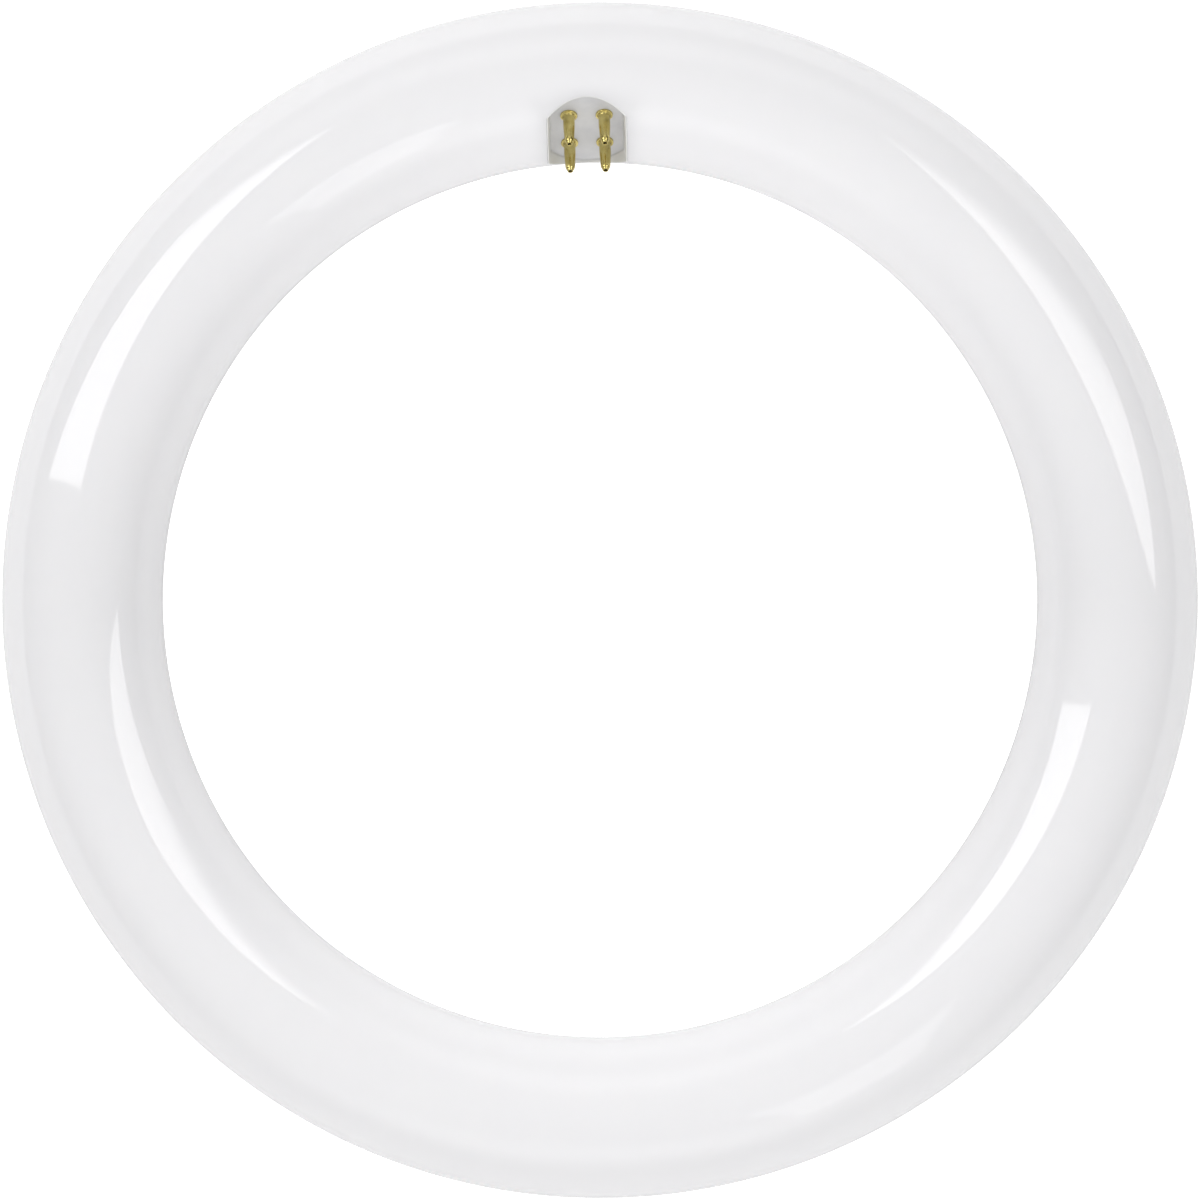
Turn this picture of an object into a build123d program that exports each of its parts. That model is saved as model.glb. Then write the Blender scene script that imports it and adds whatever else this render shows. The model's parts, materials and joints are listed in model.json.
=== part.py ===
from build123d import *
from math import cos, degrees, pi, radians, sin, sqrt, tan
import os

# Circular LED tube, in millimetres. The ring lies flat, with its centre at the origin and its
# middle plane at Z = 0. The base with the four contact pins is at +Y. The pins look out of the
# upper side and lean towards the ring's centre. The diodes shine down and the driver lies above.

os.makedirs("parts", exist_ok=True)

# Ring and tube
ring_diameter = 216.0
tube_diameter = 29.0
wall = 1.8
seam_fit = 0.1
lip_height = 1.0
carrier_thickness = 1.5

# Base: a round plug with two flats, in an opening of the tube
base_tilt = 34.0
plug_radius = 9.65
plug_width = 14.3
plug_sink = 0.4
plug_depth = 5.0
plug_fit = 0.1
plug_chamfer = 0.5
flange_width = 1.2
collar_wall = 1.2
collar_depth = 3.0

# Contact pins
pin_pitch_along = 6.35
pin_pitch_across = 7.92
pin_diameter = 2.1
pin_root_diameter = 2.6
pin_length = 6.6
pin_bore = 1.1
pin_tip_diameter = 1.05
pin_tip_bore = 0.6
pin_nose = 1.4
pin_nose_diameter = 1.8
pin_taper = 2.4
pin_tail = 1.2
pin_flange_diameter = 3.1
pin_flange_thickness = 0.35
pin_neck = 0.4
pin_fit = 0.05

# Carrier ring and diode boards
notch_clearance = 1.5
notch_reach = 1.0
led_board_width = 16.0
led_board_thickness = 1.0
led_board_count = 4
led_board_gap = 1.5
led_board_start = 13.0
leds_per_board = 18
led_length = 3.5
led_width = 2.8
led_height = 0.8
link_length = 6.0
link_width = 1.6
link_thickness = 0.5
link_spacing = 9.0

# Screws
screw_diameter = 2.0
screw_head_diameter = 3.4
screw_head_height = 1.2
screw_head_taper = 14.0
screw_socket_diameter = 1.2
screw_socket_depth = 0.7
screw_fit = 0.05
led_screw_inset = 6.0
led_screw_outward = 5.0
screw_end_gap = 0.2

# Driver board, its insulating sheet and its spacers
sheet_thickness = 0.3
sheet_margin = 1.0
spacer_height = 1.2
spacer_diameter = 3.8
driver_start = 17.5
driver_width = 18.0
driver_thickness = 1.0
driver_screw_edge = 1.9
window_clearance = 0.6

# Parts on the driver board. A size in three numbers is across the ring, along it and upwards.
part_gap = 1.0
fuse_outward = 5.0
fuse_diameter = 2.6
fuse_length = 7.0
varistor_inward = 3.3
varistor_diameter = 7.0
varistor_thickness = 3.2
film_size = (9.0, 4.6, 5.0)
choke_diameter = 6.4
choke_height = 5.0
choke_rim = 0.9
rectifier_outward = 4.2
rectifier_size = (3.9, 4.7, 2.4)
chip_inward = 3.8
chip_size = (3.9, 4.9, 1.6)
output_cap_diameter = 5.0
output_cap_length = 11.0
bulk_cap_diameter = 8.0
bulk_cap_length = 14.0
can_groove_place = 1.6
can_groove_depth = 0.35
can_edge = 0.4
inductor_size = (9.0, 8.6, 5.0)
inductor_slot = (5.6, 1.6)
small_edge = 1.8
small_size = (1.25, 2.0, 0.6)

# Leads
lead_diameter = 1.0
lead_entry = 1.0
lead_landing = 3.6
lead_on_board = 3.5
lead_lift = 0.05
lead_under_gap = 0.12
lead_lane_middle = -0.9
lead_lane_pitch = 2.3
dc_lead_outward = 4.0
dc_lead_on_board = 1.6
dc_lead_overhang = 2.5
dc_lead_tail = 0.3
carrier_hole_clearance = 0.3

# Sizes that follow from those above
ring_radius = (ring_diameter - tube_diameter) / 2
tube_radius = tube_diameter / 2
cavity_radius = tube_radius - wall
rebate_half_width = cavity_radius + wall / 2
carrier_bottom = lip_height
carrier_top = lip_height + carrier_thickness
carrier_half_width = rebate_half_width - seam_fit
led_face = carrier_bottom - led_board_thickness
sheet_top = carrier_top + sheet_thickness
driver_bottom = sheet_top + spacer_height
driver_top = driver_bottom + driver_thickness
plug_face = sqrt(tube_radius**2 - plug_radius**2) - plug_sink
plug_back = plug_face - plug_depth
collar_foot = plug_face - collar_depth
screw_radius = screw_diameter / 2
driver_screw_outward = driver_width / 2 - driver_screw_edge
small_outward = driver_width / 2 - small_edge
lead_radius = lead_diameter / 2
lead_level = driver_top + lead_radius + lead_lift
base_plane = Plane(
    origin=(0, ring_radius, 0),
    x_dir=(1, 0, 0),
    z_dir=(0, -cos(radians(base_tilt)), sin(radians(base_tilt))),
)


def azimuth(along):
    """Angle from +X, in degrees, of a point so far along the ring from the base, towards +X."""
    return 90 - degrees(along / ring_radius)


def on_ring(along, outward, height, up=1):
    """Plane at a point of the ring, facing up or down. Its x looks out from the ring's centre."""
    turn = radians(azimuth(along))
    out = Vector(cos(turn), sin(turn), 0)
    origin = out * (ring_radius + outward) + Vector(0, 0, height)
    return Plane(origin=origin, x_dir=out, z_dir=(0, 0, up))


def ring_strip(half_width, start, end):
    """Face of a strip that follows the ring between two places, measured from the base."""
    span = azimuth(end) - azimuth(start)
    with BuildLine() as outline:
        inner = CenterArc((0, 0), ring_radius - half_width, azimuth(start), span)
        outer = CenterArc((0, 0), ring_radius + half_width, azimuth(start), span)
        Line(inner @ 0, outer @ 0)
        Line(inner @ 1, outer @ 1)
    make_face(outline.edges())


def plug_outline(margin):
    """The plug's round outline with its two flats, grown by a margin on every side."""
    Circle(plug_radius + margin)
    Rectangle(plug_width + 2 * margin, 2 * (plug_radius + margin), mode=Mode.INTERSECT)


def pan_screws(places, reach):
    """Screws whose heads stand on their planes and whose shanks go a given reach below them."""
    with BuildSketch(*places) as shanks:
        Circle(screw_radius)
    extrude(shanks.sketch, amount=-reach)
    with BuildSketch(*places) as heads:
        Circle(screw_head_diameter / 2)
    extrude(heads.sketch, amount=screw_head_height, taper=screw_head_taper)
    with BuildSketch(*[place.offset(screw_head_height) for place in places]) as sockets:
        RegularPolygon(screw_socket_diameter / 2, 6)
    extrude(sockets.sketch, amount=-screw_socket_depth, mode=Mode.SUBTRACT)


def bend_radii(points):
    """Radius at each corner of a lead, which takes 0.45 of the shorter run beside it."""
    corners = [Vector(point) for point in points]
    radii = []
    for before, corner, after in zip(corners, corners[1:], corners[2:]):
        turn = radians((corner - before).get_angle(after - corner))
        shorter = min((corner - before).length, (after - corner).length)
        radii.append(0.45 * shorter / tan(turn / 2))
    return radii


def lead_along(points):
    """Insulated lead along straight runs joined by arcs."""
    radii = bend_radii(points)
    with BuildLine():
        route = FilletPolyline(*points, radius=radii)
    with BuildSketch(Plane(origin=route @ 0, z_dir=route % 0)) as section:
        Circle(lead_radius)
    sweep(section.sketch, path=route)
    print("Lead of length", round(route.length, 2), "with bends", [round(r, 2) for r in radii])


def lying_can(place, diameter, length):
    """Round can that lies along the ring, with a rolled groove near its sealed end."""
    centre = place.origin + Vector(0, 0, diameter / 2)
    middle = Plane(origin=centre, x_dir=place.y_dir, z_dir=place.x_dir)
    with BuildSketch(middle) as half_section:
        with BuildLine():
            Polyline(
                (-length / 2, 0),
                (-length / 2, diameter / 2 - can_edge),
                (-length / 2 + can_edge, diameter / 2),
                (-length / 2 + can_groove_place - can_groove_depth, diameter / 2),
                (-length / 2 + can_groove_place, diameter / 2 - can_groove_depth),
                (-length / 2 + can_groove_place + can_groove_depth, diameter / 2),
                (length / 2 - can_edge, diameter / 2),
                (length / 2, diameter / 2 - can_edge),
                (length / 2, 0),
                close=True,
            )
        make_face()
    revolve(half_section.sketch, axis=Axis(middle.origin, middle.x_dir))


def next_place(place, length, next_length):
    """Middle of the next part along the driver board, a gap after the one before it."""
    return place + length / 2 + part_gap + next_length / 2


# The places of the diode boards, of their screws and of the diodes, measured from the base
ring_length = 2 * pi * ring_radius
led_run = ring_length - 2 * led_board_start
led_board_length = (led_run - (led_board_count - 1) * led_board_gap) / led_board_count
led_board_starts = [
    led_board_start + number * (led_board_length + led_board_gap)
    for number in range(led_board_count)
]
led_screw_alongs = [
    place
    for start in led_board_starts
    for place in (start + led_screw_inset, start + led_board_length - led_screw_inset)
]
led_screw_places = [
    on_ring(along, led_screw_outward, led_face, up=-1) for along in led_screw_alongs
]

# The places of the parts along the driver board, measured from its end by the base
entry_length = max(fuse_length, varistor_diameter)
chip_row_length = max(rectifier_size[1], chip_size[1])
window_width = bulk_cap_diameter + 2 * window_clearance
window_length = bulk_cap_length + 2 * window_clearance
entry_place = lead_on_board + part_gap + entry_length / 2
near_screw_place = next_place(entry_place, entry_length, screw_head_diameter)
film_place = next_place(near_screw_place, screw_head_diameter, film_size[1])
choke_place = next_place(film_place, film_size[1], choke_diameter)
chip_place = next_place(choke_place, choke_diameter, chip_row_length)
output_cap_place = next_place(chip_place, chip_row_length, output_cap_length)
far_screw_place = next_place(output_cap_place, output_cap_length, screw_head_diameter)
bulk_cap_place = next_place(far_screw_place, screw_head_diameter, window_length)
inductor_place = next_place(bulk_cap_place, window_length, inductor_size[1])
driver_length = inductor_place + inductor_size[1] / 2 + part_gap + dc_lead_on_board
driver_end = driver_start + driver_length
small_places = (
    film_place, choke_place, chip_place, output_cap_place, bulk_cap_place, inductor_place
)
driver_screw_spots = [
    (driver_start + place, side * driver_screw_outward)
    for place in (near_screw_place, far_screw_place)
    for side in (-1, 1)
]
dc_lead_spots = [
    (driver_end + dc_lead_overhang, side * dc_lead_outward) for side in (-1, 1)
]

# Upper half of the opal tube: half of a hollow ring, rebated at its rim for the carrier and for
# the lower half's lip, with a collar turned in round the opening for the plug
with BuildPart() as rear_shell:
    with BuildSketch(base_plane.offset(collar_foot)):
        plug_outline(plug_fit + collar_wall)
    extrude(amount=tube_radius)
    with BuildSketch(Plane.XZ):
        with Locations((ring_radius, 0)):
            Circle(tube_radius)
            Rectangle(
                tube_diameter, tube_radius, align=(Align.CENTER, Align.MAX), mode=Mode.SUBTRACT
            )
    revolve(axis=Axis.Z, mode=Mode.INTERSECT)
    with BuildSketch(Plane.XZ):
        with Locations((ring_radius, 0)):
            Circle(tube_radius)
            Circle(cavity_radius, mode=Mode.SUBTRACT)
            Rectangle(2 * rebate_half_width, 2 * carrier_top, mode=Mode.SUBTRACT)
            Rectangle(
                tube_diameter, tube_radius, align=(Align.CENTER, Align.MAX), mode=Mode.SUBTRACT
            )
    revolve(axis=Axis.Z)
    with BuildSketch(base_plane):
        plug_outline(plug_fit)
    extrude(amount=tube_diameter, mode=Mode.SUBTRACT)
rear_shell.part.label = "rear_shell"
export_step(rear_shell.part, "parts/rear_shell.step")

# Lower half of the opal tube, with a lip that stands inside the upper half's rebate
with BuildPart() as front_shell:
    with BuildSketch(Plane.XZ):
        with Locations((ring_radius, 0)):
            Circle(tube_radius)
            Rectangle(
                tube_diameter, tube_radius, align=(Align.CENTER, Align.MIN), mode=Mode.SUBTRACT
            )
            Rectangle(2 * carrier_half_width, 2 * lip_height)
            Circle(cavity_radius, mode=Mode.SUBTRACT)
    revolve(axis=Axis.Z)
    with BuildSketch(base_plane):
        plug_outline(plug_fit)
    extrude(amount=tube_diameter, mode=Mode.SUBTRACT)
    with BuildSketch(Plane.XY):
        with Locations((0, ring_radius)):
            Rectangle(
                plug_width + 2 * (collar_wall + plug_fit + seam_fit),
                tube_diameter,
                align=(Align.CENTER, Align.MAX),
            )
    extrude(amount=lip_height, mode=Mode.SUBTRACT)
front_shell.part.label = "front_shell"
export_step(front_shell.part, "parts/front_shell.step")

# Base plug: flat face with four holes, and a flange behind the collar that follows the cavity
with BuildPart() as base_insert:
    with BuildSketch(base_plane.offset(plug_back)):
        plug_outline(flange_width)
    extrude(amount=collar_foot - plug_back)
    with BuildSketch(Plane.XZ):
        with Locations((ring_radius, 0)):
            Circle(cavity_radius - seam_fit)
    revolve(axis=Axis.Z, mode=Mode.INTERSECT)
    with BuildSketch(base_plane.offset(plug_back)):
        plug_outline(0)
    extrude(amount=plug_depth)
    face_edges = faces().sort_by(Axis(base_plane.origin, base_plane.z_dir))[-1].edges()
    chamfer(face_edges, plug_chamfer)
    with BuildSketch(base_plane.offset(plug_face)):
        with GridLocations(pin_pitch_along, pin_pitch_across, 2, 2):
            Circle(pin_root_diameter / 2 + pin_fit)
    extrude(amount=-plug_depth, mode=Mode.SUBTRACT)
base_insert.part.label = "base_insert"
export_step(base_insert.part, "parts/base_insert.step")

# Contact pins: hollow, with a thicker root in the plug, a flange on the plug's face, a rounded
# neck above it, a shank that is straight and then tapers, and a nose drawn in to an open tip
pin_spots = [
    (side * pin_pitch_along / 2, row * pin_pitch_across / 2) for row in (1, -1) for side in (-1, 1)
]
for number, (across, up) in enumerate(pin_spots, 1):
    foot = base_plane.from_local_coords((across, up, plug_face))
    section_plane = Plane(origin=foot, x_dir=base_plane.x_dir, z_dir=-base_plane.y_dir)
    with BuildPart() as pin:
        with BuildSketch(section_plane):
            with BuildLine():
                foot_side = Polyline(
                    (pin_bore / 2, -plug_depth - pin_tail),
                    (pin_root_diameter / 2, -plug_depth - pin_tail),
                    (pin_root_diameter / 2, 0),
                    (pin_flange_diameter / 2, 0),
                    (pin_flange_diameter / 2, pin_flange_thickness),
                )
                neck = TangentArc(
                    (pin_diameter / 2, pin_flange_thickness + pin_neck), foot_side @ 1,
                    tangent=(0, -1),
                )
                shank = Line(neck @ 0, (pin_diameter / 2, pin_length - pin_nose - pin_taper))
                taper = Line(shank @ 1, (pin_nose_diameter / 2, pin_length - pin_nose))
                nose = TangentArc(
                    taper @ 1, (pin_tip_diameter / 2, pin_length), tangent=taper % 1
                )
                Polyline(
                    nose @ 1,
                    (pin_tip_bore / 2, pin_length),
                    (pin_tip_bore / 2, pin_length - pin_nose / 2),
                    (pin_bore / 2, pin_length - pin_nose),
                    foot_side @ 0,
                )
            make_face()
        revolve(axis=Axis(foot, base_plane.z_dir))
    pin.part.label = f"pin_{number}"
    export_step(pin.part, f"parts/{pin.part.label}.step")

# Carrier: a flat aluminium ring that the two halves of the tube clamp at its rims
with BuildPart() as carrier_ring:
    with BuildSketch(Plane.XY.offset(carrier_bottom)):
        Circle(ring_radius + carrier_half_width)
        Circle(ring_radius - carrier_half_width, mode=Mode.SUBTRACT)
        with Locations((0, ring_radius + notch_reach)):
            Rectangle(
                plug_width + 2 * (flange_width + notch_clearance),
                tube_diameter,
                align=(Align.CENTER, Align.MAX),
                mode=Mode.SUBTRACT,
            )
    extrude(amount=carrier_thickness)
    with BuildSketch(*led_screw_places):
        Circle(screw_radius + screw_fit)
    extrude(amount=-led_board_thickness - carrier_thickness, mode=Mode.SUBTRACT)
    with BuildSketch(*[on_ring(*spot, carrier_top) for spot in driver_screw_spots]):
        Circle(screw_radius + screw_fit)
    extrude(amount=-carrier_thickness, mode=Mode.SUBTRACT)
    with BuildSketch(*[on_ring(*spot, carrier_top) for spot in dc_lead_spots]):
        Circle(lead_radius + carrier_hole_clearance)
    extrude(amount=-carrier_thickness, mode=Mode.SUBTRACT)
carrier_ring.part.label = "carrier_ring"
export_step(carrier_ring.part, "parts/carrier_ring.step")

# Diode boards: four arcs under the carrier, the first with holes for the leads from the driver
for number, start in enumerate(led_board_starts, 1):
    with BuildPart() as led_board:
        with BuildSketch(Plane.XY.offset(led_face)):
            ring_strip(led_board_width / 2, start, start + led_board_length)
        extrude(amount=led_board_thickness)
        with BuildSketch(*led_screw_places):
            Circle(screw_radius + screw_fit)
        extrude(amount=-led_board_thickness, mode=Mode.SUBTRACT)
        with BuildSketch(*[on_ring(*spot, carrier_bottom) for spot in dc_lead_spots]):
            Circle(lead_radius + screw_fit)
        extrude(amount=-led_board_thickness, mode=Mode.SUBTRACT)
    led_board.part.label = f"led_board_{number}"
    export_step(led_board.part, f"parts/{led_board.part.label}.step")

    led_pitch = led_board_length / leds_per_board
    with BuildPart() as led_group:
        with BuildSketch(
            *[
                on_ring(start + (index + 0.5) * led_pitch, 0, led_face, up=-1)
                for index in range(leds_per_board)
            ]
        ):
            Rectangle(led_width, led_length)
        extrude(amount=led_height)
    led_group.part.label = f"leds_{number}"
    export_step(led_group.part, f"parts/{led_group.part.label}.step")

# Links that join each diode board to the next, two at each gap
with BuildPart() as board_links:
    with BuildSketch(
        *[
            on_ring(start - led_board_gap / 2, side * link_spacing / 2, led_face, up=-1)
            for start in led_board_starts[1:]
            for side in (-1, 1)
        ]
    ):
        Rectangle(link_width, link_length)
    extrude(amount=link_thickness)
board_links.part.label = "board_links"
export_step(board_links.part, "parts/board_links.step")

# Screws that hold the diode boards under the carrier
with BuildPart() as led_screws:
    pan_screws(led_screw_places, led_board_thickness + carrier_thickness - screw_end_gap)
led_screws.part.label = "led_screws"
export_step(led_screws.part, "parts/led_screws.step")

# Sheet that insulates the driver board's underside from the carrier
with BuildPart() as insulating_sheet:
    with BuildSketch(Plane.XY.offset(carrier_top)):
        ring_strip(
            driver_width / 2 + sheet_margin, driver_start - sheet_margin, driver_end + sheet_margin
        )
    extrude(amount=sheet_thickness)
    with BuildSketch(*[on_ring(*spot, sheet_top) for spot in driver_screw_spots]):
        Circle(screw_radius + screw_fit)
    extrude(amount=-sheet_thickness, mode=Mode.SUBTRACT)
insulating_sheet.part.label = "insulating_sheet"
export_step(insulating_sheet.part, "parts/insulating_sheet.step")

# Spacers between the sheet and the driver board
with BuildPart() as driver_spacers:
    with BuildSketch(*[on_ring(*spot, sheet_top) for spot in driver_screw_spots]):
        Circle(spacer_diameter / 2)
        Circle(screw_radius + screw_fit, mode=Mode.SUBTRACT)
    extrude(amount=spacer_height)
driver_spacers.part.label = "driver_spacers"
export_step(driver_spacers.part, "parts/driver_spacers.step")

# Driver board, with a window in which the tall mains capacitor lies on the sheet
with BuildPart() as driver_board:
    with BuildSketch(Plane.XY.offset(driver_bottom)):
        ring_strip(driver_width / 2, driver_start, driver_end)
    extrude(amount=driver_thickness)
    with BuildSketch(on_ring(driver_start + bulk_cap_place, 0, driver_top)):
        Rectangle(window_width, window_length)
    extrude(amount=-driver_thickness, mode=Mode.SUBTRACT)
    with BuildSketch(*[on_ring(*spot, driver_top) for spot in driver_screw_spots]):
        Circle(screw_radius + screw_fit)
    extrude(amount=-driver_thickness, mode=Mode.SUBTRACT)
driver_board.part.label = "driver_board"
export_step(driver_board.part, "parts/driver_board.step")

# Screws that hold the driver board to the carrier
with BuildPart() as driver_screws:
    pan_screws(
        [on_ring(*spot, driver_top) for spot in driver_screw_spots],
        driver_top - carrier_bottom - screw_end_gap,
    )
driver_screws.part.label = "driver_screws"
export_step(driver_screws.part, "parts/driver_screws.step")


def on_driver(place, outward=0.0):
    """Plane on the driver board's upper face, at a place along the board."""
    return on_ring(driver_start + place, outward, driver_top)


# Mains capacitor, in the board's window
with BuildPart() as bulk_capacitor:
    lying_can(
        on_ring(driver_start + bulk_cap_place, 0, sheet_top), bulk_cap_diameter, bulk_cap_length
    )
bulk_capacitor.part.label = "bulk_capacitor"
export_step(bulk_capacitor.part, "parts/bulk_capacitor.step")

# Output capacitor
with BuildPart() as output_capacitor:
    lying_can(on_driver(output_cap_place), output_cap_diameter, output_cap_length)
output_capacitor.part.label = "output_capacitor"
export_step(output_capacitor.part, "parts/output_capacitor.step")

# Fusible resistor, lying along the ring
with BuildPart() as fuse_resistor:
    lying_can(on_driver(entry_place, fuse_outward), fuse_diameter, fuse_length)
fuse_resistor.part.label = "fuse_resistor"
export_step(fuse_resistor.part, "parts/fuse_resistor.step")

# Varistor disc, lying flat
with BuildPart() as varistor:
    with BuildSketch(on_driver(entry_place, -varistor_inward)):
        Circle(varistor_diameter / 2)
    extrude(amount=varistor_thickness)
    fillet(varistor.edges().group_by(Axis.Z)[-1], varistor_thickness / 4)
varistor.part.label = "varistor"
export_step(varistor.part, "parts/varistor.step")

# Film capacitor: a box with rounded upright corners
with BuildPart() as film_capacitor:
    with BuildSketch(on_driver(film_place)):
        RectangleRounded(film_size[0], film_size[1], film_size[1] / 5)
    extrude(amount=film_size[2])
film_capacitor.part.label = "film_capacitor"
export_step(film_capacitor.part, "parts/film_capacitor.step")

# Line choke: a drum core with its winding between the rims
with BuildPart() as choke:
    choke_plane = on_driver(choke_place)
    with BuildSketch(choke_plane, choke_plane.offset(choke_height - choke_rim)):
        Circle(choke_diameter / 2)
    extrude(amount=choke_rim)
    with BuildSketch(choke_plane):
        Circle(choke_diameter / 2 - choke_rim / 2)
    extrude(amount=choke_height)
choke.part.label = "choke"
export_step(choke.part, "parts/choke.step")

# Bridge rectifier
with BuildPart() as bridge_rectifier:
    with BuildSketch(on_driver(chip_place, rectifier_outward)):
        Rectangle(rectifier_size[0], rectifier_size[1])
    extrude(amount=rectifier_size[2])
    chamfer(bridge_rectifier.edges().group_by(Axis.Z)[-1], rectifier_size[2] / 8)
bridge_rectifier.part.label = "bridge_rectifier"
export_step(bridge_rectifier.part, "parts/bridge_rectifier.step")

# Driver chip
with BuildPart() as driver_chip:
    with BuildSketch(on_driver(chip_place, -chip_inward)):
        Rectangle(chip_size[0], chip_size[1])
    extrude(amount=chip_size[2])
    chamfer(driver_chip.edges().group_by(Axis.Z)[-1], chip_size[2] / 8)
driver_chip.part.label = "driver_chip"
export_step(driver_chip.part, "parts/driver_chip.step")

# Power inductor: a block core, open at two sides round its winding
with BuildPart() as power_inductor:
    inductor_plane = on_driver(inductor_place)
    with BuildSketch(inductor_plane):
        Rectangle(inductor_size[0], inductor_size[1])
    extrude(amount=inductor_size[2])
    with BuildSketch(inductor_plane.offset(inductor_size[2])):
        with Locations((0, inductor_size[1] / 2), (0, -inductor_size[1] / 2)):
            Rectangle(inductor_slot[0], 2 * inductor_slot[1])
    extrude(amount=-inductor_size[2], mode=Mode.SUBTRACT)
power_inductor.part.label = "power_inductor"
export_step(power_inductor.part, "parts/power_inductor.step")

# Small resistors and diodes along both edges of the board
with BuildPart() as small_parts:
    with BuildSketch(
        *[on_driver(place, side * small_outward) for place in small_places for side in (-1, 1)]
    ):
        Rectangle(small_size[0], small_size[1])
    extrude(amount=small_size[2])
small_parts.part.label = "small_parts"
export_step(small_parts.part, "parts/small_parts.step")

# Leads from the pins to the driver board, each in its own lane. Each goes straight on from its
# pin for its leg. Those of the lower pins then pass under the edge of the plug's flange, where
# their dips give how far up the flange and how far below it they lie, and climb to the board.
lead_legs = (3.6, 1.5, 4.0, 3.0)
lead_dips = (None, None, (2.8, 1.9), (1.5, 0.0))
for number, (across, up) in enumerate(pin_spots, 1):
    tail = plug_back - pin_tail
    lane = lead_lane_middle + (2.5 - number) * lead_lane_pitch
    start = base_plane.from_local_coords((across, up, tail + lead_entry))
    turn = base_plane.from_local_coords((across, up, tail - lead_legs[number - 1]))
    landing = on_ring(driver_start - lead_landing, lane, lead_level).origin
    end = on_ring(driver_start + lead_on_board, lane, lead_level).origin
    points = [start, turn, landing, end]
    if up < 0:
        dip_up, dip_depth = lead_dips[number - 1]
        dip_height = plug_back - lead_under_gap - lead_radius - dip_depth
        flange_edge = plug_width / 2 + flange_width
        points.insert(2, base_plane.from_local_coords((flange_edge, dip_up, dip_height)))
    with BuildPart() as pin_lead:
        lead_along(points)
    pin_lead.part.label = f"pin_lead_{number}"
    export_step(pin_lead.part, f"parts/{pin_lead.part.label}.step")

# Two leads from the driver's far end down through the carrier to the first diode board
with BuildPart() as dc_leads:
    for along, outward in dc_lead_spots:
        start = on_ring(driver_end - dc_lead_on_board, outward, lead_level).origin
        corner = on_ring(along, outward, lead_level).origin
        foot = on_ring(along, outward, led_face - dc_lead_tail).origin
        lead_along([start, corner, foot])
dc_leads.part.label = "dc_leads"
export_step(dc_leads.part, "parts/dc_leads.step")
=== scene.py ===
# %% [markdown]
# # A circular LED tube, finished for the camera
#
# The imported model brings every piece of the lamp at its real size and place, in metres, with the
# ring lying flat and its base at +Y. This script gives it its looks. It makes finer surfaces for
# the pieces that show, finishes for all of them, a pale studio and the camera.

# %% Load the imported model
import json

import bpy
import numpy as np
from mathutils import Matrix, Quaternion, Vector


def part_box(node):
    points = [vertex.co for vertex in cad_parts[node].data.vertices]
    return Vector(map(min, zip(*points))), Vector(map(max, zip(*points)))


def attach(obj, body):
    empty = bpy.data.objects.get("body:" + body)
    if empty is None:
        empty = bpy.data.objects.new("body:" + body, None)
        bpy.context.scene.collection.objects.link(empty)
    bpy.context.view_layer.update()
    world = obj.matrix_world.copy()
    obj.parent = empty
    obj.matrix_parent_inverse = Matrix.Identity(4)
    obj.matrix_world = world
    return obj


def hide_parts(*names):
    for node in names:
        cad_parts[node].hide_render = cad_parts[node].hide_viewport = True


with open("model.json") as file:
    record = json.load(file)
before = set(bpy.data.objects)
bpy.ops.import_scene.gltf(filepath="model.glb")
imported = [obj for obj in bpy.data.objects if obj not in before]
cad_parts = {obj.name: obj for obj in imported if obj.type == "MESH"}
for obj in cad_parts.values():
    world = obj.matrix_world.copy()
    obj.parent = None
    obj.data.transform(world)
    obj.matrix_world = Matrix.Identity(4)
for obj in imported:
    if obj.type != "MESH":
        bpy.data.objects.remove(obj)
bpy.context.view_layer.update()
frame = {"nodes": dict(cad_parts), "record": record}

MM = 0.001

# %% [markdown]
# ## Sizes read from the model
#
# The ring's and the tube's radius come from the box of the upper half of the tube, and the slant of
# the base comes from the axis of a contact pin. So the fine surfaces lie where the plain ones do.
# What the boxes don't tell is written once, in real millimetres: the plug's outline here, and the
# pins' steps with the pins.

# %% Main sizes
_, upper_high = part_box("rear_shell")
TUBE_RADIUS = round(upper_high.z, 4)
RING_RADIUS = round(upper_high.x, 4) - TUBE_RADIUS
pin_mounts = [m for m in frame["record"]["mounts"] if m["name"].startswith("contact_pin")]
PIN_AXIS = np.array(pin_mounts[0]["axis"])
BASE_TILT = np.arctan2(PIN_AXIS[2], -PIN_AXIS[1])

PLUG_RADIUS = 9.65 * MM
PLUG_HALF_WIDTH = 7.15 * MM
PLUG_SINK = 0.4 * MM
PLUG_DEPTH = 5.0 * MM
PLUG_GAP = 0.02 * MM
FLANGE_WIDTH = 1.2 * MM
COLLAR_DEPTH = 3.0 * MM
TUBE_WALL = 1.8 * MM
PLUG_FACE = np.sqrt(TUBE_RADIUS**2 - PLUG_RADIUS**2) - PLUG_SINK
print(f"Ring radius {RING_RADIUS / MM:.2f} mm, tube radius {TUBE_RADIUS / MM:.2f} mm,",
      f"base tilted {np.degrees(BASE_TILT):.1f} degrees")

# %% [markdown]
# ## From arrays to meshes
#
# Every surface below is a grid of points, worked out as whole arrays. One function turns an array
# of points and an array of four-cornered faces into an object. Another gives the faces between
# the neighbours of a grid. A third turns distances in the base's own slanting frame into a place.

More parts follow.
